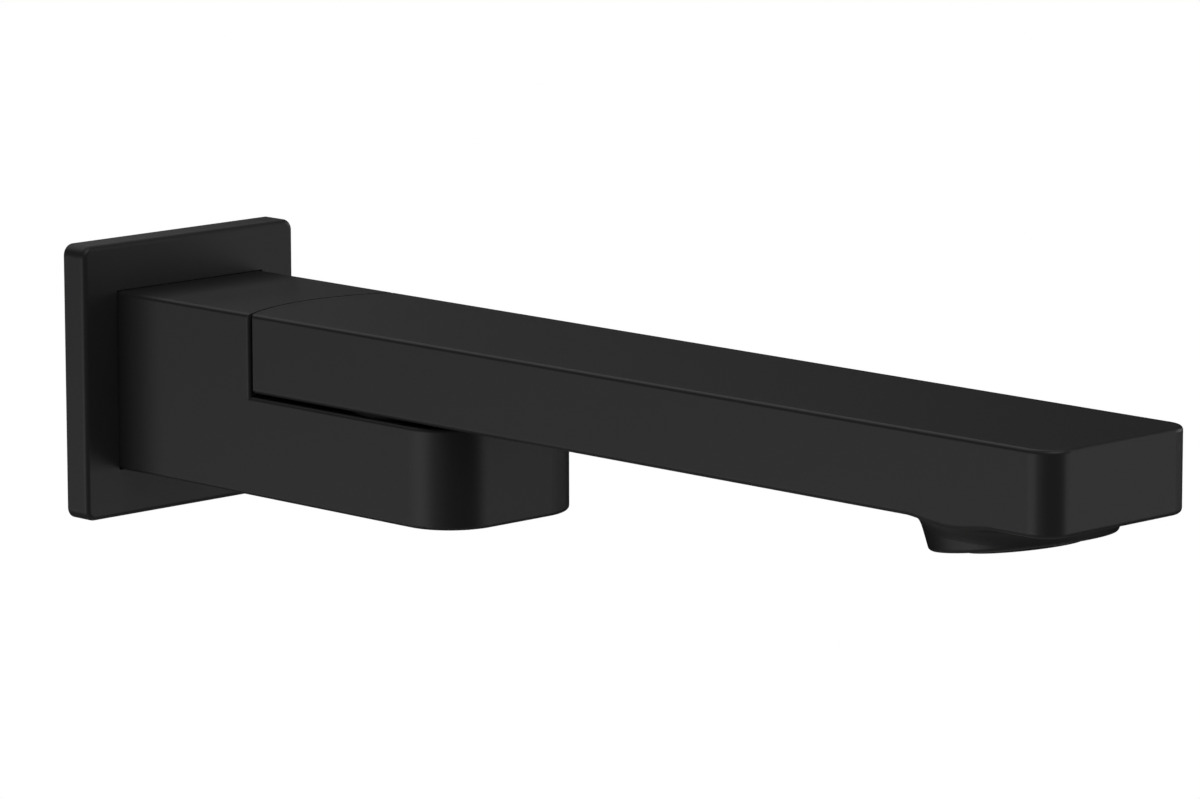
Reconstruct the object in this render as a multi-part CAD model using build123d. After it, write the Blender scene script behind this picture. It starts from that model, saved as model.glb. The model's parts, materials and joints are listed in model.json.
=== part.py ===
from build123d import *
from math import cos, radians, sin, sqrt, tan
import os

# Swivelling wall-mounted spout: a square cover plate, a fixed body that stands out from the wall, and a
# long flat arm that turns on the body's shelf. Millimetres, +Z up. The wall is the plane Y = 0, the spout
# reaches out along -Y, and the origin is on the wall where the inlet's axis meets it.

# Cover plate on the wall
plate_size = 50.0
plate_thick = 5.5
plate_corner_r = 2.05
plate_front_r = 0.95
plate_skin = 1.8
plate_rim = 2.2
plate_body_gap = 0.12
plate_hollow_r = 0.6
collar_wall = 2.6
collar_back = 0.6
gasket_width = 2.4
gasket_thick = 1.2
gasket_collar_gap = 0.2
grip_ring_size = 1.6

# Square section that the body and the arm share
half_width = 17.25
half_height = 16.25
long_edge_r = 0.7

# Fixed body
body_back = 1.0
body_front = 92.3
body_corner_r = 10.0
body_bottom_r = 0.7
shelf_z = 1.45
seat_edge_r = 0.65

# Swivel: where the arm turns and how it seats in the body
pivot_y = -71.3
arm_seat_r = 33.9
seam_gap = 0.5
arm_gap = 0.65
swing_deg = 90.0

# Arm
arm_reach = 229.25
arm_corner_r = 4.75
arm_lower_r = 0.9
arm_side_wall = 2.6
arm_floor = 2.4
arm_roof = 2.4
arm_end_wall = 3.2
cavity_corner_r = 2.0
boss_r = 14.2
boss_height = 6.4

# Outlet nose under the arm's end, with its axis leaning out from the wall
nose_y = -208.5
nose_drop = 5.05
nose_tilt = 8.9
nose_r = 15.25
nose_draft = 10.2
nose_rim_r = 0.8
nose_root_r = 3.6
nose_thread_r = 10.3
nose_thread_depth = 8.2
nose_water_r = 8.0
nose_ledge = 1.4
nose_boss_wall = 2.2

# Swivel spigot and its bore
spigot_r = 9.0
running_gap = 0.05
spigot_neck_r = 7.45
spigot_water_r = 4.8
spigot_end_wall = 3.0
spigot_waist_r = 7.0
port_r = 2.1
port_count = 4
seal_groove_r = 7.5
seal_clear = 0.02
seal_groove_width = 2.0
seal_shoulder = 0.7
upper_seal_drop = 3.05
lower_seal_lift = 1.8
spigot_tip = 0.7
spigot_chamfer = 0.4
cap_bore_r = 12.6
cap_thick = 1.5
cap_clear = 0.25
cap_rim_r = 0.3
neck_seal_depth = 1.5
neck_seal_wall = 1.1
seat_clear = 0.02

# Thrust washer, retaining washer, circlip and stop pin
washer_inner_r = 13.2
washer_outer_r = 16.2
washer_clear = 0.03
retainer_thick = 0.6
retainer_outer_r = 12.2
circlip_thick = 1.0
circlip_outer_r = 10.9
circlip_groove_r = 8.1
circlip_mouth_deg = 70.0
stop_r = 11.4
stop_pin_r = 1.0
stop_pin_bite = 4.0
stop_pin_chamfer = 0.2
stop_groove_depth = 2.0
stop_clear = 0.25

# Inlet connector, its seals and the locking screw
tail_r = 10.48
tail_reach = 15.0
tail_chamfer = 0.8
hex_across = 22.0
hex_back = 0.6
hex_depth = 5.6
hex_room = 0.9
hex_end_room = 0.4
plug_r = 9.05
plug_gap = 0.05
plug_reach = 24.0
socket_floor_gap = 1.0
inlet_water_r = 5.5
connector_seal_ys = (-16.4, -20.8)
connector_groove_r = 7.5
screw_y = -11.6
screw_r = 2.48
screw_thread_gap = 0.02
screw_point_r = 1.2
screw_sink = 1.2
screw_key_across = 2.5
screw_key_depth = 2.0
screw_groove_r = 7.9
screw_groove_width = 5.2

# Waterway through the body
channel_width = 10.0
channel_height = 5.0
channel_lift = 0.2

# Aerator cartridge in the nose
aerator_ring_r = 9.8
aerator_drop = 0.8
aerator_thread_gap = 0.03
aerator_thread_low = 1.6
aerator_thread_high = 6.4
aerator_bore_r = 8.3
aerator_rim_r = 0.35
key_notch_count = 6
key_notch_width = 1.8
key_notch_depth = 0.7
insert_gap = 0.04
grid_low = -0.3
grid_thick = 1.9
grid_pitch = 2.35
grid_web = 0.45
diffuser_low = 3.2
diffuser_thick = 2.6
diffuser_rim = 1.2
diffuser_hub_r = 2.4
jet_count = 18
jet_r = 0.45
jet_ring_r = 5.9
filter_wall = 0.6
filter_rim_gap = 0.2
filter_height = 2.6
filter_hole_r = 0.5
filter_ring_radii = (2.2, 4.2)
filter_hole_count = 6
aerator_seal_thick = 1.7
aerator_seal_inner_r = 7.6

# Sizes worked out from those above
arm_low = shelf_z + arm_gap
body_seat_r = arm_seat_r + seam_gap
bore_r = spigot_r + running_gap
socket_r = plug_r + plug_gap
socket_depth = plug_reach + socket_floor_gap
nose_z = arm_low - nose_drop
tall = 2 * half_height
wide = 2 * half_width
spigot_low = cap_thick + cap_clear - half_height
ledge_z = spigot_low + spigot_tip + circlip_thick + retainer_thick
upper_seal_z = shelf_z - upper_seal_drop
lower_seal_z = ledge_z + lower_seal_lift
channel_z = (upper_seal_z + lower_seal_z) / 2 + channel_lift
hole_wide = wide + 2 * plate_body_gap
hole_tall = tall + 2 * plate_body_gap
plate_inside = plate_size - 2 * plate_rim
boss_top = arm_low + boss_height
nose_place = Location((0, nose_y, nose_z), (-nose_tilt, 0, 0))


def block(width, y_front, y_back, z_low, z_high):
    """A box across the middle plane, from its front and back on Y and its low and high faces."""
    middle = ((y_front + y_back) / 2, (z_low + z_high) / 2)
    return Pos(0, middle[0], middle[1]) * Box(width, y_back - y_front, z_high - z_low)


def upright(radius, z_low, z_high, y=pivot_y, x=0.0):
    """A cylinder that stands between two heights."""
    return Pos(x, y, (z_low + z_high) / 2) * Cylinder(radius, z_high - z_low)


def along_y(radius, y_front, y_back, z=0.0):
    """A cylinder that lies along Y between two places."""
    return Pos(0, (y_front + y_back) / 2, z) * Rot(90, 0, 0) * Cylinder(radius, y_back - y_front)


def ring(outer_r, inner_r, z_low, z_high, y=pivot_y):
    """A flat washer that lies level."""
    return upright(outer_r, z_low, z_high, y) - upright(inner_r, z_low - 1, z_high + 1, y)


def seal_ring(groove_r, wall_r, place):
    """A round-section seal that fills the space between a groove's floor and the wall around it."""
    section = (wall_r - groove_r) / 2 - seal_clear
    middle = (wall_r + groove_r) / 2
    return place * Torus(middle, section)


def in_nose(shape):
    """Moves a piece from the aerator's own frame, with Z up its axis, to its place in the nose."""
    return nose_place * shape


def disc(outer_r, low, high, inner_r=0.0):
    """A disc or a ring about the aerator's own axis."""
    part = Pos(0, 0, (low + high) / 2) * Cylinder(outer_r, high - low)
    if inner_r > 0:
        part -= Pos(0, 0, (low + high) / 2) * Cylinder(inner_r, high - low + 1)
    return part


def level_edges(shape, z):
    """The edges that lie flat at one height."""
    return shape.edges().filter_by_position(Axis.Z, z - 0.001, z + 0.001)


def plate_outline(size, corner_r):
    """A square with round corners that faces along Y, centred on the inlet."""
    return Rot(90, 0, 0) * RectangleRounded(size, size, corner_r)


def make_wall_plate():
    """Cover plate: cast square with a hollow back and a collar that slides over the body."""
    plate = extrude(plate_outline(plate_size, plate_corner_r), plate_thick)
    front = plate.faces().sort_by(Axis.Y)[0]
    plate = fillet(front.edges(), plate_front_r)
    hollow_depth = plate_thick - plate_skin
    plate -= extrude(plate_outline(plate_inside, plate_hollow_r), hollow_depth)
    collar_high = hole_tall / 2 + collar_wall
    collar_wide = hole_wide + 2 * collar_wall
    plate += block(collar_wide, plate_skin / 2 - plate_thick, -collar_back, -collar_high, collar_high)
    ledge_depth = hollow_depth - gasket_thick
    ledge = extrude(Pos(0, -gasket_thick, 0) * plate_outline(plate_inside, plate_hollow_r), ledge_depth)
    ledge -= extrude(plate_outline(plate_inside - 2 * gasket_width, plate_hollow_r), plate_thick)
    plate += ledge
    # the collar steps back where the gasket and its room need the space
    plate -= gasket_band(gasket_width + gasket_collar_gap, 0)
    plate -= block(hole_wide, -plate_thick - 1, 1, -hole_tall / 2, hole_tall / 2)
    plate -= grip_ring_space(0)
    return plate


def gasket_band(width, clear):
    """The square band just inside the plate's rim, as deep as the gasket is thick."""
    band = extrude(plate_outline(plate_inside - 2 * clear, plate_hollow_r), gasket_thick)
    return band - extrude(plate_outline(plate_inside - 2 * width, plate_hollow_r), gasket_thick)


def grip_ring_space(clear):
    """The square channel in the collar that holds the grip ring around the body."""
    y_mid = -(collar_back + plate_thick) / 2
    inner_w = wide + 2 * clear
    inner_h = tall + 2 * clear
    size = grip_ring_size
    outer = block(wide + 2 * (size - clear), y_mid - size / 2 + clear, y_mid + size / 2 - clear,
                  -half_height - size + clear, half_height + size - clear)
    return outer - block(inner_w, y_mid - size, y_mid + size, -inner_h / 2, inner_h / 2)


def make_plate_gasket():
    """Foam ring behind the plate's rim that keeps splash water out of the wall."""
    return gasket_band(gasket_width, seat_clear)


def make_fixed_body():
    """Cast body: a square bar with a round-cornered foot, a shelf, and a hollow round seat for the arm."""
    outline = Pos(0, -(body_front + body_back) / 2) * Rectangle(wide, body_front - body_back)
    front_corners = outline.vertices().sort_by(Axis.Y)[0:2]
    outline = fillet(front_corners, body_corner_r)
    body = extrude(Pos(0, 0, -half_height) * outline, tall)
    under = level_edges(body, -half_height)
    body = fillet([e for e in under if e.center().Y < -body_back - 0.01], body_bottom_r)
    body -= upright(body_seat_r, shelf_z, half_height + 1)
    seat_y = pivot_y + sqrt(body_seat_r ** 2 - half_width ** 2)
    shelf_rim = [e for e in level_edges(body, shelf_z) if e.center().Y < seat_y - 0.5]
    seat_sides = [e for e in body.edges().filter_by(Axis.Z) if abs(e.center().Y - seat_y) < 0.01]
    body = fillet(shelf_rim + seat_sides, seat_edge_r)
    # the long top edges are rounded along the bar alone, so the seat's curved top edge stays crisp
    bar_height = 2 * tall
    bar = RectangleRounded(wide, bar_height, long_edge_r)
    profile = Rot(90, 0, 0) * Pos(0, half_height - bar_height / 2) * bar
    body &= extrude(profile, 2 * body_front, both=True)
    return body - body_bores()


def body_bores():
    """Everything that is drilled or cored out of the body: socket, waterway, swivel bore and stop groove."""
    cuts = along_y(hex_across / 2 / cos(radians(30)) + hex_room, -hex_back - hex_depth - hex_end_room, 1)
    cuts += along_y(socket_r, -socket_depth, 1)
    slot = Pos(0, 0, channel_z) * Rot(90, 0, 0) * SlotOverall(channel_width, channel_height)
    cuts += extrude(Pos(0, -socket_depth + 1, 0) * slot, -pivot_y - socket_depth + 1)
    cuts += upright(bore_r, ledge_z - 1, shelf_z + 1)
    cuts += upright(cap_bore_r, -half_height - 1, ledge_z)
    cuts += stop_groove()
    cuts += upright(screw_r + screw_thread_gap, -half_height - 1, 0, screw_y)
    return cuts


def stop_groove():
    """Curved groove in the shelf: the stop pin runs in it, and its ends set how far the arm swings."""
    half = stop_pin_r + stop_clear
    low = shelf_z - stop_groove_depth
    groove = ring(stop_r + half, stop_r - half, low, shelf_z + 1)
    groove &= block(2 * (stop_r + 2 * half), pivot_y - stop_r - 2 * half, pivot_y, low, shelf_z + 1)
    # the arm's swing is measured each way from straight out, so each end is a round hole on that line
    for side in (-1, 1):
        turn = radians(swing_deg)
        end = (side * stop_r * sin(turn), pivot_y - stop_r * cos(turn))
        groove += upright(half, low, shelf_z + 1, end[1], end[0])
    return groove


def make_inlet_connector():
    """Brass connector: threaded tail into the wall, hexagon for the spanner, and a plug for the body."""
    part = along_y(tail_r, -hex_back, tail_reach)
    tail_end = part.faces().sort_by(Axis.Y)[-1]
    part = chamfer(tail_end.edges(), tail_chamfer)
    hexagon = Rot(90, 0, 0) * RegularPolygon(hex_across / 2, 6, major_radius=False)
    part += extrude(Pos(0, -hex_back, 0) * hexagon, hex_depth)
    part += along_y(plug_r, -plug_reach, -hex_back)
    for y in connector_seal_ys:
        part -= groove_along_y(plug_r, connector_groove_r, y, seal_groove_width)
    part -= groove_along_y(plug_r, screw_groove_r, screw_y, screw_groove_width)
    return part - along_y(inlet_water_r, -plug_reach - 1, tail_reach + 1)


def groove_along_y(outer_r, floor_r, y, width):
    """A groove turned into a shaft that lies along Y."""
    cut = along_y(outer_r + 1, y - width / 2, y + width / 2)
    return cut - along_y(floor_r, y - width, y + width)


def make_connector_seal(y):
    """Seal ring between the connector's plug and the body's socket."""
    return seal_ring(connector_groove_r, socket_r, Pos(0, y, 0) * Rot(90, 0, 0))


def make_grub_screw():
    """Socket set screw from below that locks the body on the connector."""
    low = -half_height + screw_sink
    tip = -screw_groove_r - seat_clear
    screw = upright(screw_r, low, tip, screw_y)
    point = screw.faces().sort_by(Axis.Z)[-1]
    screw = chamfer(point.edges(), screw_r - screw_point_r)
    key = RegularPolygon(screw_key_across / 2, 6, major_radius=False)
    return screw - extrude(Pos(0, screw_y, low) * key, screw_key_depth)


def make_base_cap():
    """Disc that closes the swivel bore from below, flush with the body."""
    cap = upright(cap_bore_r - seat_clear, -half_height, -half_height + cap_thick)
    return fillet(cap.faces().sort_by(Axis.Z)[0].edges(), cap_rim_r)


def make_thrust_washer():
    """Slippery washer on the shelf that carries the arm."""
    return ring(washer_outer_r, washer_inner_r, shelf_z, arm_low - washer_clear)


def make_retaining_washer():
    """Steel washer under the body's ledge that the circlip pulls against."""
    return ring(retainer_outer_r, bore_r, ledge_z - retainer_thick, ledge_z)


def make_circlip():
    """Spring-steel ring, open on one side, that snaps into the spigot's groove."""
    high = ledge_z - retainer_thick - washer_clear
    clip = ring(circlip_outer_r, circlip_groove_r + seat_clear, high - circlip_thick + 2 * washer_clear, high)
    reach = 2 * circlip_outer_r
    half = radians(circlip_mouth_deg / 2)
    mouth = Polyline((0, 0), (-reach * sin(half), -reach * cos(half)), (reach * sin(half), -reach * cos(half)),
                     (0, 0))
    return clip - extrude(Pos(0, pivot_y, high - 3) * make_face(mouth), 6)


def make_stop_pin():
    """Pin in the arm's underside that runs in the shelf's groove."""
    low = shelf_z - stop_groove_depth + stop_clear
    pin = upright(stop_pin_r, low, arm_low + stop_pin_bite, pivot_y - stop_r)
    return chamfer(pin.faces().sort_by(Axis.Z)[0].edges(), stop_pin_chamfer)


def make_swivel_spigot():
    """Turned hollow spigot: it screws into the arm, turns in the body and lets the water up through it."""
    part = upright(spigot_r, spigot_low, arm_low)
    part += upright(spigot_neck_r, arm_low - 1, boss_top)
    half = seal_groove_width / 2
    for z in (upper_seal_z, lower_seal_z):
        part -= ring(spigot_r + 1, seal_groove_r, z - half, z + half)
    waist_high = upper_seal_z - half - seal_shoulder
    waist_low = lower_seal_z + half + seal_shoulder
    part -= ring(spigot_r + 1, spigot_waist_r, waist_low, waist_high)
    clip_high = ledge_z - retainer_thick - washer_clear + seat_clear
    part -= ring(spigot_r + 1, circlip_groove_r, clip_high - circlip_thick, clip_high)
    part -= upright(spigot_water_r, spigot_low + spigot_end_wall, boss_top + 1)
    port_z = (waist_high + waist_low) / 2
    drill = Rot(0, 90, 0) * Cylinder(port_r, 2 * spigot_r + 2)
    for k in range(port_count // 2):
        turn = 45 + 360 * k / port_count
        part -= Pos(0, pivot_y, port_z) * Rot(0, 0, turn) * drill
    return chamfer(part.faces().sort_by(Axis.Z)[0].edges(), spigot_chamfer)


def make_spigot_seal(z):
    """Seal ring between the spigot and the body's bore."""
    return seal_ring(seal_groove_r, bore_r, Pos(0, pivot_y, z))


def make_neck_seal():
    """Seal ring around the spigot's neck, in the counterbore under the arm."""
    high = neck_seal_depth / 2
    return seal_ring(spigot_neck_r, spigot_neck_r + neck_seal_wall, Pos(0, pivot_y, arm_low + high))


def arm_outline(side_gap, end_gap):
    """Plan of the arm: straight sides, round front corners and a round heel about the pivot."""
    width = wide - 2 * side_gap
    front = -arm_reach + end_gap
    bar = Pos(0, (front + pivot_y) / 2) * Rectangle(width, pivot_y - front)
    heel = Pos(0, pivot_y) * Circle(arm_seat_r - end_gap)
    heel &= Pos(0, pivot_y + arm_seat_r / 2) * Rectangle(width, arm_seat_r)
    plan = bar + heel
    corner_r = arm_corner_r if side_gap == 0 else cavity_corner_r
    return fillet(plan.vertices().sort_by(Axis.Y)[0:2], corner_r)


def make_nose():
    """Drafted round nose with its axis leaning, blended by a wide root round into the arm's underside."""
    spread = 2.2 * wide
    slab_high = arm_low + arm_floor
    slab = block(spread, nose_y - spread / 2, nose_y + spread / 2, arm_low, slab_high)
    height = slab_high - nose_z + nose_r * sin(radians(nose_tilt))
    top_r = nose_r + height * tan(radians(nose_draft))
    cone = nose_place * Pos(0, 0, height / 2) * Cone(nose_r, top_r, height)
    cone &= block(spread, nose_y - spread / 2, nose_y + spread / 2, nose_z - spread, slab_high)
    rim = cone.faces().filter_by(GeomType.PLANE).sort_by(Axis.Z)[0]
    cone = fillet(rim.edges(), nose_rim_r)
    nose = slab + cone
    root = level_edges(nose, arm_low).filter_by(GeomType.ELLIPSE)
    nose = fillet(root, nose_root_r)
    plan = extrude(Pos(0, 0, nose_z - nose_r) * arm_outline(0, 0), slab_high - nose_z + nose_r)
    return nose & plan


def make_spout_arm():
    """Hollow flat arm with a round heel, a boss for the spigot and the outlet nose under its end."""
    arm = extrude(Pos(0, 0, arm_low) * arm_outline(0, 0), half_height - arm_low)
    arm += make_nose()
    to_top = [f for f in arm.faces() if f.bounding_box().max.Z > half_height - 0.01]
    walls = [f for f in to_top if f.center().Z < half_height - 1]
    lower_rim = [e for f in walls for e in f.edges() if e.position_at(0.5).Z < arm_low + 0.01]
    arm = fillet(lower_rim, arm_lower_r)
    heel_y = pivot_y + sqrt(arm_seat_r ** 2 - half_width ** 2)
    top_rim = [e for e in level_edges(arm, half_height) if e.center().Y < heel_y - 1]
    arm = fillet(top_rim, long_edge_r)
    cavity = extrude(Pos(0, 0, arm_low + arm_floor) * arm_outline(arm_side_wall, arm_end_wall),
                     half_height - arm_roof - arm_low - arm_floor)
    cavity -= upright(boss_r, arm_low, boss_top)
    cavity -= in_nose(disc(nose_thread_r + nose_boss_wall, 0, nose_thread_depth + nose_ledge))
    cavity += upright(spigot_neck_r, arm_low - 1, boss_top + 1)
    cavity += upright(spigot_neck_r + neck_seal_wall, arm_low - 1, arm_low + neck_seal_depth)
    cavity += upright(stop_pin_r, arm_low - 1, arm_low + stop_pin_bite, pivot_y - stop_r)
    cavity += in_nose(disc(nose_thread_r, -1, nose_thread_depth))
    cavity += in_nose(disc(nose_water_r, -1, nose_thread_depth + nose_ledge + 1))
    return arm - cavity


def make_aerator_housing():
    """Threaded aerator sleeve with a visible ring, notched inside for its key."""
    part = disc(aerator_ring_r, -aerator_drop, aerator_thread_high)
    part += disc(nose_thread_r - aerator_thread_gap, aerator_thread_low, aerator_thread_high)
    part = fillet(part.faces().sort_by(Axis.Z)[0].edges(), aerator_rim_r)
    part -= disc(aerator_bore_r, -aerator_drop - 1, aerator_thread_high + 1)
    notch = Box(2 * key_notch_depth, key_notch_width, 2 * key_notch_depth)
    for k in range(key_notch_count):
        part -= Rot(0, 0, 360 * k / key_notch_count) * Pos(aerator_bore_r, 0, -aerator_drop) * notch
    return in_nose(part)


def make_aerator_grid():
    """Honeycomb at the outlet that straightens the stream."""
    radius = aerator_bore_r - insert_gap
    part = disc(radius, grid_low, grid_low + grid_thick)
    cell_r = (grid_pitch - grid_web) / sqrt(3)
    cells = []
    rows = int(radius / grid_pitch) + 1
    for row in range(-rows, rows + 1):
        y = row * grid_pitch * sqrt(3) / 2
        for column in range(-rows, rows + 1):
            x = (column + (row % 2) / 2) * grid_pitch
            if sqrt(x * x + y * y) + cell_r < radius - grid_web:
                cells.append(Pos(x, y) * RegularPolygon(cell_r, 6, rotation=30))
    holes = extrude(Pos(0, 0, grid_low - 1) * Sketch(children=[c.face() for c in cells]), grid_thick + 2)
    return in_nose(part - holes)


def make_aerator_diffuser():
    """Disc that splits the water into jets above the honeycomb."""
    radius = aerator_bore_r - insert_gap
    part = disc(radius, diffuser_low, diffuser_low + diffuser_thick)
    middle = diffuser_low + diffuser_thick / 2
    part -= disc(radius - diffuser_rim, middle, middle + diffuser_thick, diffuser_hub_r)
    jet = Pos(jet_ring_r, 0, diffuser_low) * Cylinder(jet_r, 4 * diffuser_thick)
    for k in range(jet_count):
        part -= Rot(0, 0, 360 * k / jet_count) * jet
    return in_nose(part)


def make_aerator_filter():
    """Domed strainer on the diffuser that catches grit."""
    base = diffuser_low + diffuser_thick
    rim_r = aerator_seal_inner_r - filter_rim_gap
    dome_r = (rim_r ** 2 + filter_height ** 2) / (2 * filter_height)
    dome = Pos(0, 0, base + filter_height - dome_r) * Sphere(dome_r)
    dome -= Pos(0, 0, base + filter_height - dome_r) * Sphere(dome_r - filter_wall)
    dome &= disc(rim_r, base, base + filter_height + 1)
    for row, ring_r in enumerate(filter_ring_radii, 1):
        for k in range(row * filter_hole_count):
            turn = 360 * k / (row * filter_hole_count)
            dome -= Rot(0, 0, turn) * Pos(ring_r, 0, base) * Cylinder(filter_hole_r, 4 * filter_height)
    return in_nose(dome)


def make_aerator_seal():
    """Rubber ring that the housing presses against the nose's inner ledge."""
    return in_nose(disc(nose_thread_r - aerator_thread_gap, nose_thread_depth - aerator_seal_thick,
                        nose_thread_depth, aerator_seal_inner_r))


pieces = {
    "wall_plate": make_wall_plate(),
    "plate_gasket": make_plate_gasket(),
    "plate_grip_ring": grip_ring_space(seat_clear),
    "fixed_body": make_fixed_body(),
    "inlet_connector": make_inlet_connector(),
    "connector_seal_rear": make_connector_seal(connector_seal_ys[0]),
    "connector_seal_front": make_connector_seal(connector_seal_ys[1]),
    "grub_screw": make_grub_screw(),
    "base_cap": make_base_cap(),
    "thrust_washer": make_thrust_washer(),
    "retaining_washer": make_retaining_washer(),
    "spout_arm": make_spout_arm(),
    "swivel_spigot": make_swivel_spigot(),
    "spigot_seal_upper": make_spigot_seal(upper_seal_z),
    "spigot_seal_lower": make_spigot_seal(lower_seal_z),
    "neck_seal": make_neck_seal(),
    "circlip": make_circlip(),
    "stop_pin": make_stop_pin(),
    "aerator_housing": make_aerator_housing(),
    "aerator_seal": make_aerator_seal(),
    "aerator_filter": make_aerator_filter(),
    "aerator_diffuser": make_aerator_diffuser(),
    "aerator_grid": make_aerator_grid(),
}

os.makedirs("parts", exist_ok=True)
for name, piece in pieces.items():
    export_step(piece, f"parts/{name}.step")
    print(name, round(piece.volume, 1), "mm3", "valid" if piece.is_valid else "NOT VALID")
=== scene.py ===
# %% [markdown]
# A wall-mounted swivel spout in satin black
#
# The real object is a bath spout of the square kind. A cover plate sits on the wall, a square body
# stands out from it, and a long flat arm turns on the body's shelf. Everything that can be seen from
# the front has one finish: a smooth, slightly silky black coating. This lesson dresses the finished
# parts, which come from the part's own frame at their real size, and lights them as a catalogue
# photographer would. Lengths here are in metres, with Z up, the wall at Y = 0 and the spout along -Y.

# %% Load the frame
import bmesh
import bpy
import json
import math
from mathutils import Matrix, Vector

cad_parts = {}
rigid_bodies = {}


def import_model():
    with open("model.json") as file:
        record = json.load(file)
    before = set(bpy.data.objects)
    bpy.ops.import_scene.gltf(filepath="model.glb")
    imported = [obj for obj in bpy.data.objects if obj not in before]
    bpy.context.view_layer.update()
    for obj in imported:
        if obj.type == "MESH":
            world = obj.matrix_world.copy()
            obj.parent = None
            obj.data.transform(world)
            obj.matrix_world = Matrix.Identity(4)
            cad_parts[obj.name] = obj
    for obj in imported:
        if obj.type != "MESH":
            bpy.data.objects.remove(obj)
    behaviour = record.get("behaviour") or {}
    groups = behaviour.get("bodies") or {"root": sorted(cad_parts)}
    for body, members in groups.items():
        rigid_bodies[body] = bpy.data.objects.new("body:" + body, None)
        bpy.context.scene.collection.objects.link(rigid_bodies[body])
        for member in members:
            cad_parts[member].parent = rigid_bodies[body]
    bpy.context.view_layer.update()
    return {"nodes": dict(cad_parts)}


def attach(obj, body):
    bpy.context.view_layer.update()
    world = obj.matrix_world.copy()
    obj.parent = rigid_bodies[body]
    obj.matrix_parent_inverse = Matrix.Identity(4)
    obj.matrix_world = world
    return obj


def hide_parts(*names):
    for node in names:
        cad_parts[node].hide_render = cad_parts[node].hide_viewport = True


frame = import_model()
scene = bpy.context.scene
MM = 0.001


# %% [markdown]
# The camera
#
# The photograph was taken with a long lens, from the left of the spout's end and a little above it.
# The place, the angles and the focal length were worked out from the object's edges, because a
# camera that is right to a pixel makes every later comparison with the photograph simple. Azimuth
# is a compass angle here, seen from above: 0 is towards the wall, +Y, and 90 is to the right, +X.

# %% Camera
PHOTO_WIDTH_PX = 1200
FOCAL_PX = 6412.4
SENSOR_WIDTH = 36.0
CAMERA_PLACE = Vector((-749.445, -878.956, 198.443)) * MM
CAMERA_AZIMUTH = 224.3289
CAMERA_ELEVATION = 10.0832
CAMERA_ROLL = -0.11275


def direction(azimuth, elevation):
    """The unit vector from the object towards an azimuth and an elevation, given in degrees."""
    turn, rise = math.radians(azimuth), math.radians(elevation)
    level = math.cos(rise)
    return Vector((math.sin(turn) * level, math.cos(turn) * level, math.sin(rise)))


def facing(away, place):
    """The matrix of a camera or lamp at a place, with its back towards away and its top upwards."""
    right = Vector((0, 0, 1)).cross(away).normalized()
    turn = Matrix((right, away.cross(right), away)).transposed()
    return Matrix.Translation(place) @ turn.to_4x4()


def make_camera():
    data = bpy.data.cameras.new("camera")
    data.sensor_width = SENSOR_WIDTH
    data.lens = FOCAL_PX / PHOTO_WIDTH_PX * SENSOR_WIDTH
    camera = bpy.data.objects.new("camera", data)
    aim = facing(direction(CAMERA_AZIMUTH, CAMERA_ELEVATION), CAMERA_PLACE)
    camera.matrix_world = aim @ Matrix.Rotation(math.radians(CAMERA_ROLL), 4, "Z")
    scene.collection.objects.link(camera)
    scene.camera = camera
    return camera


camera = make_camera()
print("camera lens:", round(camera.data.lens, 1), "mm")


# %% [markdown]
# Node helpers
#
# Every material and light below is a small tree of nodes. One helper adds a node, fills its sockets
# and links what feeds it, so that each finish reads as a short recipe. Colours are written as the
# hex values that one would pick on a screen, and one function turns them into linear light.

# %% Node helpers
def linear(hex_colour):
    """A linear RGBA colour from an sRGB hex value such as #1c1c1c."""
    channels = []
    for start in (1, 3, 5):
        value = int(hex_colour[start:start + 2], 16) / 255
        channels.append(value / 12.92 if value <= 0.04045 else ((value + 0.055) / 1.055) ** 2.4)
    return (*channels, 1.0)


def add_node(tree, kind, inputs=None, **settings):
    """Adds a node. A socket's value is a number or colour, or the output socket that feeds it."""
    node = tree.nodes.new(kind)
    for name, value in settings.items():
        setattr(node, name, value)
    for name, value in (inputs or {}).items():
        socket = node.inputs[name]
        if isinstance(value, bpy.types.NodeSocket):
            tree.links.new(value, socket)
        else:
            socket.default_value = value
    return node


# %% [markdown]
# The room
#
# The photograph has a pure white background without a shadow, and a wall spout stands on no floor.
# So the camera sees a white room, through the Light Path node. Mirrors need more care: the long flat
# top mirrors the wall behind it at a glancing angle, where even black paint turns bright in a white
# room, and in the photograph it is dark. A photographer hangs black cloth round such an object and
# leaves the ceiling pale, and glossy rays see just that: white above, less below, and black between.

# %% Room
ROOM_LEVEL = 0.5
CEILING_WHITE = 0.4
FLOOR_WHITE = 0.05
CLOTH_BOTTOM = -0.35
CLOTH_TOP = 0.6
CLOTH_FADE = 0.2


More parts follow.
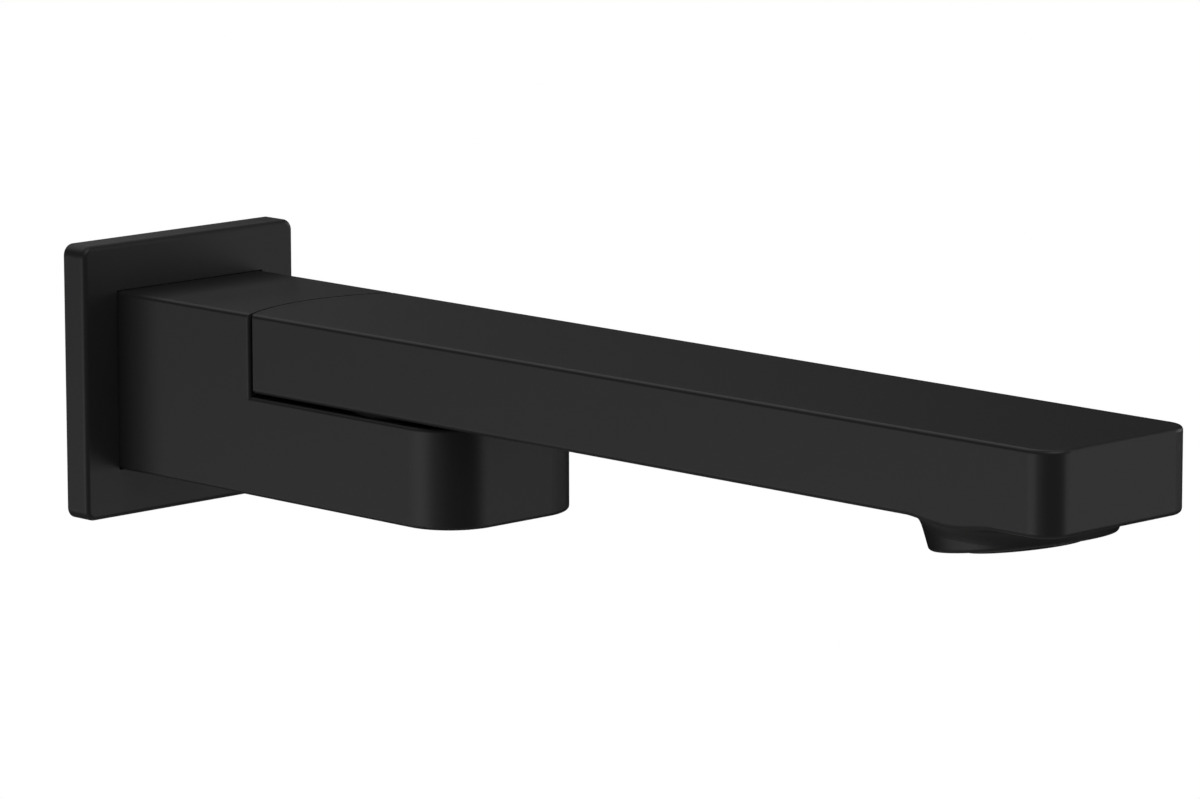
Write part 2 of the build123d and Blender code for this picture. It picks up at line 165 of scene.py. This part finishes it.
def make_room():
    world = bpy.data.worlds.new("white_room")
    world.use_nodes = True
    tree = world.node_tree
    tree.nodes.clear()
    towards = add_node(tree, "ShaderNodeTexCoord").outputs["Generated"]
    rise = add_node(tree, "ShaderNodeSeparateXYZ", {"Vector": towards}).outputs["Z"]
    above = {"Value": rise, "From Min": CLOTH_TOP, "From Max": CLOTH_TOP + CLOTH_FADE,
             "To Max": CEILING_WHITE}
    below = {"Value": rise, "From Min": CLOTH_BOTTOM, "From Max": CLOTH_BOTTOM - CLOTH_FADE,
             "To Max": FLOOR_WHITE}
    smooth = "SMOOTHSTEP"
    ceiling = add_node(tree, "ShaderNodeMapRange", above, interpolation_type=smooth).outputs["Result"]
    floor = add_node(tree, "ShaderNodeMapRange", below, interpolation_type=smooth).outputs["Result"]
    tone = add_node(tree, "ShaderNodeMath", {0: ceiling, 1: floor}, operation="ADD").outputs["Value"]
    white = linear("#ffffff")
    light = add_node(tree, "ShaderNodeBackground", {"Color": white, "Strength": ROOM_LEVEL}).outputs[0]
    mirrored = add_node(tree, "ShaderNodeBackground", {"Color": white, "Strength": tone}).outputs[0]
    backdrop = add_node(tree, "ShaderNodeBackground", {"Color": white, "Strength": 1.0}).outputs[0]
    path = add_node(tree, "ShaderNodeLightPath").outputs
    straight = {0: path["Is Camera Ray"], 1: path["Is Transmission Ray"]}
    seen = add_node(tree, "ShaderNodeMath", straight, operation="MAXIMUM").outputs["Value"]
    unseen = {0: path["Is Glossy Ray"], 1: light, 2: mirrored}
    around = add_node(tree, "ShaderNodeMixShader", unseen).outputs[0]
    room = add_node(tree, "ShaderNodeMixShader", {0: seen, 1: around, 2: backdrop}).outputs[0]
    add_node(tree, "ShaderNodeOutputWorld", {"Surface": room})
    # the room has no small bright spot, and its light is followed by kind of ray alone
    world.cycles.sampling_method = "NONE"
    scene.world = world


make_room()
scene.view_settings.view_transform = "Standard"


# %% [markdown]
# The floor
#
# A spout like this hangs about a metre above the floor, so the floor is far below and only throws its
# pale light back up. It is kept out of the camera's sight, because the photograph shows none and
# because the underside, with the outlet, is looked at from below it.

# %% Floor
FLOOR_DROP = 0.95
FLOOR_SIZE = 1.8
FLOOR_GREY = "#8c8c8a"
FLOOR_ROUGHNESS = 0.9


def make_floor():
    mesh = bmesh.new()
    bmesh.ops.create_grid(mesh, x_segments=1, y_segments=1, size=FLOOR_SIZE / 2)
    bmesh.ops.translate(mesh, verts=mesh.verts, vec=(0, 0, -FLOOR_DROP))
    data = bpy.data.meshes.new("floor")
    mesh.to_mesh(data)
    mesh.free()
    material = bpy.data.materials.new("pale_floor")
    material.use_nodes = True
    shader = material.node_tree.nodes["Principled BSDF"]
    shader.inputs["Base Color"].default_value = linear(FLOOR_GREY)
    shader.inputs["Roughness"].default_value = FLOOR_ROUGHNESS
    data.materials.append(material)
    floor = bpy.data.objects.new("floor", data)
    floor.visible_camera = False
    scene.collection.objects.link(floor)


make_floor()


# %% [markdown]
# The soft boxes
#
# A satin black surface shows hardly any colour of its own. What one sees is what it mirrors, blurred,
# so the lamps draw the object. Each face of the spout mirrors another part of the studio: the long
# side mirrors the left, the end and the plate's front mirror the right, and the upright corners
# between them mirror the dark place where the photographer stands. The boxes below stand at those
# places. A box's level is how bright its cloth is, where 1 is a white card in plain light.

# %% Soft boxes
STUDIO_CENTRE = Vector((0, -0.11, 0))
BOX_DISTANCE = 1.6
# name, azimuth, elevation, width and height in degrees as the object sees them, level
SOFT_BOXES = (
    ("left_front_box", 255, -18, 30, 26, 0.33),
    ("left_box", 285, -18, 30, 26, 1.77),
    ("left_rear_box", 315, -18, 30, 26, 0.88),
    ("front_top_box", 190, 48, 40, 34, 1.8),
    ("right_box", 145, -15, 30, 26, 1.14),
    ("right_far_box", 110, 10, 38, 28, 1.5),
    ("back_right_box", 30, 9, 16, 20, 0.25),
    ("back_box", 8, 10, 24, 22, 0.25),
    ("back_top_box", 15, 45, 60, 34, 0.51),
)


def make_soft_box(name, azimuth, elevation, width, height, level):
    data = bpy.data.lights.new(name, "AREA")
    data.shape = "RECTANGLE"
    data.size = 2 * BOX_DISTANCE * math.tan(math.radians(width / 2))
    data.size_y = 2 * BOX_DISTANCE * math.tan(math.radians(height / 2))
    # a lamp's power spreads over its cloth and over half the sphere
    data.energy = level * 4 * data.size * data.size_y
    box = bpy.data.objects.new(name, data)
    away = direction(azimuth, elevation)
    box.matrix_world = facing(away, STUDIO_CENTRE + away * BOX_DISTANCE)
    box.visible_camera = False
    scene.collection.objects.link(box)


for soft_box in SOFT_BOXES:
    make_soft_box(*soft_box)
print("soft boxes:", len(SOFT_BOXES))


# %% [markdown]
# How a finish is started
#
# All the finishes begin alike: a new material, one principled shader with its colour and gloss, and
# the place of each point on the piece. Places are read as object coordinates. Every piece sits at the
# origin unturned, so a pattern stays fixed to the metal when the arm swings, and its scale is a real
# one, in metres. A noise runs mostly between 0.3 and 0.7, and those two become a finish's extremes.

# %% Start of a finish
NOISE_LOW = 0.3
NOISE_HIGH = 0.7


def start_finish(name, colour, roughness, metallic=0.0):
    """A new material: gives it back with its tree, its shader and the place of each point."""
    material = bpy.data.materials.new(name)
    material.use_nodes = True
    tree = material.node_tree
    shader = tree.nodes["Principled BSDF"]
    shader.inputs["Base Color"].default_value = linear(colour)
    shader.inputs["Roughness"].default_value = roughness
    shader.inputs["Metallic"].default_value = metallic
    place = add_node(tree, "ShaderNodeTexCoord").outputs["Object"]
    return material, tree, shader, place


def dress(material, *names):
    """Gives a finish to parts of the frame, by name."""
    for name in names:
        frame["nodes"][name].data.materials.clear()
        frame["nodes"][name].data.materials.append(material)
    print(material.name, "on", len(names), "parts")


# %% [markdown]
# The black coating
#
# Cast brass or zinc is ground smooth and gets a satin black electrocoat. Such a skin is an even,
# neutral near-black with a silky sheen. No grain shows at arm's length. Close up there are three faint
# things, and each gets a noise of its own size: a shallow orange peel about a millimetre and a half
# wide, a fine unevenness of the sheen, and a slow drift of the black. The coat is new, so nothing is
# worn. A resin mirrors less than glass does, which is why the specular level is half the usual one.

# %% Satin black electrocoat
PEEL_WIDTH = 1.5 * MM
PEEL_HEIGHT = 0.0012 * MM
SPECK_WIDTH = 0.3 * MM
DRIFT_WIDTH = 18 * MM
COAT_SHEEN = (0.38, 0.42)
COAT_BLACKS = ("#1c1c1c", "#1e1e1e")
COAT_MIRROR = 0.25


def make_black_coat():
    material, tree, shader, place = start_finish("satin_black_electrocoat", "#1d1d1d", 0.40)
    shader.inputs["Specular IOR Level"].default_value = COAT_MIRROR
    drift = add_node(tree, "ShaderNodeTexNoise",
                     {"Vector": place, "Scale": 1 / DRIFT_WIDTH, "Detail": 1.0}).outputs["Fac"]
    blacks = {"Factor": drift, "A": linear(COAT_BLACKS[0]), "B": linear(COAT_BLACKS[1])}
    black = add_node(tree, "ShaderNodeMix", blacks, data_type="RGBA").outputs["Result"]
    specks = add_node(tree, "ShaderNodeTexNoise",
                      {"Vector": place, "Scale": 1 / SPECK_WIDTH, "Detail": 2.0}).outputs["Fac"]
    sheen = add_node(tree, "ShaderNodeMapRange",
                     {"Value": specks, "From Min": NOISE_LOW, "From Max": NOISE_HIGH,
                      "To Min": COAT_SHEEN[0], "To Max": COAT_SHEEN[1]}).outputs["Result"]
    waves = add_node(tree, "ShaderNodeTexNoise",
                     {"Vector": place, "Scale": 1 / PEEL_WIDTH, "Detail": 1.0}).outputs["Fac"]
    peel = add_node(tree, "ShaderNodeBump",
                    {"Height": waves, "Distance": PEEL_HEIGHT}).outputs["Normal"]
    tree.links.new(black, shader.inputs["Base Color"])
    tree.links.new(sheen, shader.inputs["Roughness"])
    tree.links.new(peel, shader.inputs["Normal"])
    return material


black_coat = make_black_coat()
dress(black_coat, "wall_plate", "fixed_body", "spout_arm", "base_cap")


# %% [markdown]
# Turned brass
#
# The connector and the swivel's spigot are turned from brass bar and stay bare. The lathe leaves fine
# rings: along the shaft they lie side by side, and on the end faces they are circles. A wave across
# the axis and a wave round it, added, give both at once, because each is even where the other shows.
# The real feed is about a tenth of a millimetre, and it is drawn at a quarter so that it shows. Brass
# tarnishes in soft brown clouds, which darken the colour and dull the gloss.

# %% Turned brass
FEED = 0.25 * MM
FEED_DEPTH = 0.004 * MM
TARNISH_WIDTH = 6 * MM
BRASS_COLOURS = ("#d6b976", "#bd9a58")
BRASS_GLOSS = (0.24, 0.40)
TARNISH_FROM = 0.4
TARNISH_TO = 0.75
RING_WOBBLE = 0.4
# Blender's wave texture runs through one wave for each tau / 20 of its scaled coordinate
WAVE_UNIT = math.tau / 20


def make_brass(name, axis):
    """Brass that was turned about an axis, X, Y or Z."""
    material, tree, shader, place = start_finish(name, BRASS_COLOURS[0], 0.3, metallic=1.0)
    clouds = add_node(tree, "ShaderNodeTexNoise",
                      {"Vector": place, "Scale": 1 / TARNISH_WIDTH, "Detail": 4.0}).outputs["Fac"]
    spread = {"Value": clouds, "From Min": TARNISH_FROM, "From Max": TARNISH_TO}
    tarnish = add_node(tree, "ShaderNodeMapRange", spread).outputs["Result"]
    tones = {"Factor": tarnish, "A": linear(BRASS_COLOURS[0]), "B": linear(BRASS_COLOURS[1])}
    colour = add_node(tree, "ShaderNodeMix", tones, data_type="RGBA").outputs["Result"]
    dulling = {"Value": tarnish, "To Min": BRASS_GLOSS[0], "To Max": BRASS_GLOSS[1]}
    gloss = add_node(tree, "ShaderNodeMapRange", dulling).outputs["Result"]
    wave = {"Vector": place, "Scale": WAVE_UNIT / FEED, "Distortion": RING_WOBBLE}
    shaft = add_node(tree, "ShaderNodeTexWave", wave, wave_type="BANDS", bands_direction=axis)
    ends = add_node(tree, "ShaderNodeTexWave", wave, wave_type="RINGS", rings_direction=axis)
    both = {0: shaft.outputs["Fac"], 1: ends.outputs["Fac"]}
    marks = add_node(tree, "ShaderNodeMath", both, operation="ADD").outputs["Value"]
    grooves = add_node(tree, "ShaderNodeBump",
                       {"Height": marks, "Distance": FEED_DEPTH}).outputs["Normal"]
    tree.links.new(colour, shader.inputs["Base Color"])
    tree.links.new(gloss, shader.inputs["Roughness"])
    tree.links.new(grooves, shader.inputs["Normal"])
    return material


connector_brass = make_brass("turned_brass_connector", "Y")
spigot_brass = make_brass("turned_brass_spigot", "Z")
dress(connector_brass, "inlet_connector")
dress(spigot_brass, "swivel_spigot")


# %% [markdown]
# Rubber and foam
#
# The seals are moulded nitrile rubber: black, smooth and rather matt, with the fine bloom of the
# mould. The gasket behind the plate is cut from closed-cell foam. Its cells are about half a
# millimetre wide, and a Voronoi pattern gives their walls and pits. The same pattern also paints
# the pits darker and the walls lighter, which is painted shade in the pits.

# %% Nitrile rubber and closed-cell foam
BLOOM_WIDTH = 0.8 * MM
RUBBER_GLOSS = (0.46, 0.62)
CELL_WIDTH = 0.5 * MM
CELL_DEPTH = 0.12 * MM
FOAM_PIT_SHADE_TONES = ("#232325", "#3a3a3d")


def make_rubber():
    material, tree, shader, place = start_finish("moulded_nitrile_rubber", "#171717", 0.55)
    bloom = add_node(tree, "ShaderNodeTexNoise",
                     {"Vector": place, "Scale": 1 / BLOOM_WIDTH, "Detail": 3.0}).outputs["Fac"]
    gloss = add_node(tree, "ShaderNodeMapRange",
                     {"Value": bloom, "From Min": NOISE_LOW, "From Max": NOISE_HIGH,
                      "To Min": RUBBER_GLOSS[0], "To Max": RUBBER_GLOSS[1]}).outputs["Result"]
    tree.links.new(gloss, shader.inputs["Roughness"])
    return material


def make_foam():
    material, tree, shader, place = start_finish("closed_cell_foam", FOAM_PIT_SHADE_TONES[0], 0.92)
    cells = add_node(tree, "ShaderNodeTexVoronoi",
                     {"Vector": place, "Scale": 1 / CELL_WIDTH}).outputs["Distance"]
    # pits darker, walls lighter: painted shade in the pits, added on top of the real bump
    tones = {"Factor": cells, "A": linear(FOAM_PIT_SHADE_TONES[0]), "B": linear(FOAM_PIT_SHADE_TONES[1])}
    colour = add_node(tree, "ShaderNodeMix", tones, data_type="RGBA").outputs["Result"]
    pits = add_node(tree, "ShaderNodeBump",
                    {"Height": cells, "Distance": CELL_DEPTH}).outputs["Normal"]
    tree.links.new(colour, shader.inputs["Base Color"])
    tree.links.new(pits, shader.inputs["Normal"])
    return material


dress(make_rubber(), "plate_grip_ring", "connector_seal_rear", "connector_seal_front",
      "spigot_seal_upper", "spigot_seal_lower", "neck_seal", "aerator_seal")
dress(make_foam(), "plate_gasket")


# %% [markdown]
# Stainless steel
#
# The locking screw, the washer, the circlip and the stop pin are plain stainless steel. Blanked and
# tumbled parts have a soft grey shine with short scratches in all directions, which here come from a
# fine noise in the gloss and a very low bump.

# %% Tumbled stainless steel
SCRATCH_WIDTH = 0.2 * MM
SCRATCH_DEPTH = 0.002 * MM
STEEL_GLOSS = (0.24, 0.42)
SCRATCH_BEND = 2.0


def make_steel():
    material, tree, shader, place = start_finish("tumbled_stainless_steel", "#b4b4b7", 0.32, metallic=1.0)
    scratches = add_node(tree, "ShaderNodeTexNoise",
                         {"Vector": place, "Scale": 1 / SCRATCH_WIDTH, "Detail": 3.0,
                          "Distortion": SCRATCH_BEND}).outputs["Fac"]
    gloss = add_node(tree, "ShaderNodeMapRange",
                     {"Value": scratches, "From Min": NOISE_LOW, "From Max": NOISE_HIGH,
                      "To Min": STEEL_GLOSS[0], "To Max": STEEL_GLOSS[1]}).outputs["Result"]
    relief = add_node(tree, "ShaderNodeBump",
                      {"Height": scratches, "Distance": SCRATCH_DEPTH}).outputs["Normal"]
    tree.links.new(gloss, shader.inputs["Roughness"])
    tree.links.new(relief, shader.inputs["Normal"])
    return material


dress(make_steel(), "grub_screw", "retaining_washer", "circlip", "stop_pin")


# %% [markdown]
# The plastics
#
# Three plastics are inside. The washer that carries the arm is slippery PTFE. Its near-black colour
# is painted shade: it is darkened to make the shadowed gap that it lies in darker. The aerator's
# sleeve is black acetal with the satin grain of its mould, and its inserts are the same plastic in
# grey. One recipe makes all three, since they differ only in colour, gloss, mirroring and grain. PTFE
# bends light least of all plastics, so it mirrors only half as much as acetal does, and because it is
# cut from a sintered block and not moulded, it stays matt.

# %% Plastics
PTFE_MIRROR = 0.28
ACETAL_MIRROR = 0.47


def make_plastic(name, colours, gloss, mirror, grain_width, grain_depth):
    """A plastic with a colour that drifts between two, and a fine grain of a real width."""
    material, tree, shader, place = start_finish(name, colours[0], sum(gloss) / 2)
    shader.inputs["Specular IOR Level"].default_value = mirror
    grain = add_node(tree, "ShaderNodeTexNoise",
                     {"Vector": place, "Scale": 1 / grain_width, "Detail": 2.0}).outputs["Fac"]
    tones = {"Factor": grain, "A": linear(colours[0]), "B": linear(colours[1])}
    colour = add_node(tree, "ShaderNodeMix", tones, data_type="RGBA").outputs["Result"]
    sheen = add_node(tree, "ShaderNodeMapRange",
                     {"Value": grain, "From Min": NOISE_LOW, "From Max": NOISE_HIGH,
                      "To Min": gloss[0], "To Max": gloss[1]}).outputs["Result"]
    relief = add_node(tree, "ShaderNodeBump",
                      {"Height": grain, "Distance": grain_depth}).outputs["Normal"]
    tree.links.new(colour, shader.inputs["Base Color"])
    tree.links.new(sheen, shader.inputs["Roughness"])
    tree.links.new(relief, shader.inputs["Normal"])
    return material


# the washer's near-black colour is painted shade, as dark as the shadowed gap round it
ptfe = make_plastic("ptfe_painted_gap_shade", ("#0d0d0e", "#111112"), (0.82, 0.94), PTFE_MIRROR,
                    0.3 * MM, 0.002 * MM)
black_acetal = make_plastic("black_acetal", ("#161617", "#1b1b1c"), (0.36, 0.46), ACETAL_MIRROR,
                            0.25 * MM, 0.004 * MM)
grey_acetal = make_plastic("grey_acetal", ("#a1a1a4", "#97979a"), (0.34, 0.44), ACETAL_MIRROR,
                           0.4 * MM, 0.003 * MM)
dress(ptfe, "thrust_washer")
dress(black_acetal, "aerator_housing")
dress(grey_acetal, "aerator_grid", "aerator_diffuser", "aerator_filter")


# %% [markdown]
# The threaded connector
#
# Behind the plate a brass connector screws into the pipe in the wall. The frame's solid has a plain
# tail, and the real one has a parallel pipe thread of fourteen turns to the inch. A lathe makes such a
# piece, so it is made like that here: a half section is spun about the pipe's axis. The hexagon for
# the spanner is then milled: six cuts take the round collar down to flats, and because its edges were
# chamfered on the lathe first, the flats end in the curved tops that every real nut has.

# %% Connector body
TAIL_R = 10.48 * MM
CORE_R = 9.32 * MM
TAIL_REACH = 15.0 * MM
TAIL_CHAMFER = 0.5 * MM
BORE_R = 5.5 * MM
PLUG_R = 9.05 * MM
PLUG_REACH = 24.0 * MM
PLUG_CHAMFER = 0.6 * MM
HEX_ACROSS = 22.0 * MM
HEX_BACK = 0.6 * MM
HEX_DEPTH = 5.6 * MM
NUT_CHAMFER = 0.8 * MM
SEAL_GROOVE_R = 7.5 * MM
SEAL_GROOVE_WIDTH = 2.0 * MM
SEAL_GROOVE_PLACES = (-16.4 * MM, -20.8 * MM)
SCREW_GROOVE_R = 7.9 * MM
SCREW_GROOVE_WIDTH = 5.2 * MM
SCREW_GROOVE_PLACE = -11.6 * MM
SPIN_STEPS = 96
HEX_HALF_ANGLE = math.radians(30)
CHAMFER_SLOPE = math.radians(30)
SHARP_ANGLE = math.radians(30)


def spin_section(mesh, section):
    """Spins a closed half section, given as (radius, place on Y), all the way round the Y axis."""
    corners = [mesh.verts.new((radius, y, 0)) for radius, y in section]
    edges = [mesh.edges.new((corners[i - 1], corners[i])) for i in range(len(corners))]
    bmesh.ops.spin(mesh, geom=corners + edges, cent=(0, 0, 0), axis=(0, 1, 0), angle=math.tau,
                   steps=SPIN_STEPS, use_merge=True)


def grooved_plug():
    """The plug's outline from the hexagon inwards to its far end, with its three turned grooves."""
    grooves = [(SCREW_GROOVE_PLACE, SCREW_GROOVE_WIDTH, SCREW_GROOVE_R)]
    grooves += [(place, SEAL_GROOVE_WIDTH, SEAL_GROOVE_R) for place in SEAL_GROOVE_PLACES]
    outline = [(PLUG_R, -HEX_BACK - HEX_DEPTH)]
    for place, width, floor_r in grooves:
        near, far = place + width / 2, place - width / 2
        outline += [(PLUG_R, near), (floor_r, near), (floor_r, far), (PLUG_R, far)]
    return outline + [(PLUG_R, -PLUG_REACH + PLUG_CHAMFER), (PLUG_R - PLUG_CHAMFER, -PLUG_REACH)]


def mill_flats(mesh):
    """Cuts the round collar down to a hexagon. The rest of the piece is too slim to be met."""
    for flat in range(6):
        turn = math.tau * flat / 6
        out = Vector((math.sin(turn), 0, math.cos(turn)))
        everything = mesh.verts[:] + mesh.edges[:] + mesh.faces[:]
        bmesh.ops.bisect_plane(mesh, geom=everything, plane_co=out * HEX_ACROSS / 2, plane_no=out,
                               clear_outer=True)
        rim = [edge for edge in mesh.edges if edge.is_boundary]
        bmesh.ops.holes_fill(mesh, edges=rim, sides=0)


def make_connector_body(mesh):
    nut_r = HEX_ACROSS / 2 / math.cos(HEX_HALF_ANGLE)
    slope = NUT_CHAMFER * math.tan(CHAMFER_SLOPE)
    front = -HEX_BACK - HEX_DEPTH
    section = [(BORE_R, TAIL_REACH), (CORE_R - TAIL_CHAMFER, TAIL_REACH),
               (CORE_R, TAIL_REACH - TAIL_CHAMFER), (CORE_R, -HEX_BACK),
               (nut_r - NUT_CHAMFER, -HEX_BACK), (nut_r, -HEX_BACK - slope),
               (nut_r, front + slope), (nut_r - NUT_CHAMFER, front)]
    spin_section(mesh, section + grooved_plug() + [(BORE_R, -PLUG_REACH)])
    mill_flats(mesh)


connector_mesh = bmesh.new()
make_connector_body(connector_mesh)
print("connector body:", len(connector_mesh.faces), "faces,",
      sum(not edge.is_manifold for edge in connector_mesh.edges), "open edges")


# %% [markdown]
# The thread
#
# A thread is one ridge wound round the core. Its section is spun once more, but each step also moves
# it along the axis, so that a whole turn advances by the pitch. The flanks stand at 55 degrees, and
# the ridge's foot is sunk a little into the core. The lathe chamfers both ends of a thread, so each
# point that stands higher than a cone at either end is pulled down to that cone.

# %% Thread
THREAD_PITCH = 25.4 * MM / 14
THREAD_START = 0.6 * MM
THREAD_END = TAIL_REACH - 0.3 * MM
THREAD_FOOT_R = CORE_R - 0.1 * MM
THREAD_CREST = 0.1 * MM
THREAD_SHOULDER = 0.08 * MM
THREAD_STEPS = 48
THREAD_ANGLE = math.radians(55)


def make_thread(mesh):
    flank = math.tan(THREAD_ANGLE / 2)
    shoulder_y = THREAD_CREST + THREAD_SHOULDER
    foot_y = shoulder_y + (TAIL_R - THREAD_SHOULDER - THREAD_FOOT_R) * flank
    half = [(THREAD_FOOT_R, foot_y), (TAIL_R - THREAD_SHOULDER, shoulder_y), (TAIL_R, THREAD_CREST)]
    section = half + [(radius, -y) for radius, y in reversed(half)]
    turns = (THREAD_END - THREAD_START - 2 * foot_y) / THREAD_PITCH
    steps = round(turns * THREAD_STEPS)
    corners = [mesh.verts.new((radius, THREAD_START + foot_y + y, 0)) for radius, y in section]
    edges = [mesh.edges.new((corners[i - 1], corners[i])) for i in range(len(corners))]
    before = set(mesh.verts) - set(corners)
    bmesh.ops.spin(mesh, geom=corners + edges, cent=(0, 0, 0), axis=(0, 1, 0),
                   angle=math.tau * steps / THREAD_STEPS, steps=steps,
                   dvec=(0, THREAD_PITCH / THREAD_STEPS, 0))
    bmesh.ops.holes_fill(mesh, edges=[edge for edge in mesh.edges if edge.is_boundary], sides=0)
    for point in set(mesh.verts) - before:
        radius = math.hypot(point.co.x, point.co.z)
        highest = THREAD_FOOT_R + min(point.co.y - THREAD_START, THREAD_END - point.co.y)
        if radius > highest:
            point.co.x *= highest / radius
            point.co.z *= highest / radius
    print("thread:", round(steps / THREAD_STEPS, 1), "turns")


def finish_piece(mesh, name, material, body, replaced):
    """Turns a bmesh into a piece that rides on a body and stands for a part of the frame."""
    bmesh.ops.recalc_face_normals(mesh, faces=mesh.faces)
    data = bpy.data.meshes.new(name)
    mesh.to_mesh(data)
    mesh.free()
    data.polygons.foreach_set("use_smooth", [True] * len(data.polygons))
    data.set_sharp_from_angle(angle=SHARP_ANGLE)
    data.materials.append(material)
    piece = bpy.data.objects.new(name, data)
    scene.collection.objects.link(piece)
    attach(piece, body)
    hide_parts(replaced)
    return piece


make_thread(connector_mesh)
connector = finish_piece(connector_mesh, "threaded_connector", connector_brass, "fixed",
                         "inlet_connector")
print("connector:", [round(side / MM, 2) for side in connector.dimensions], "mm")
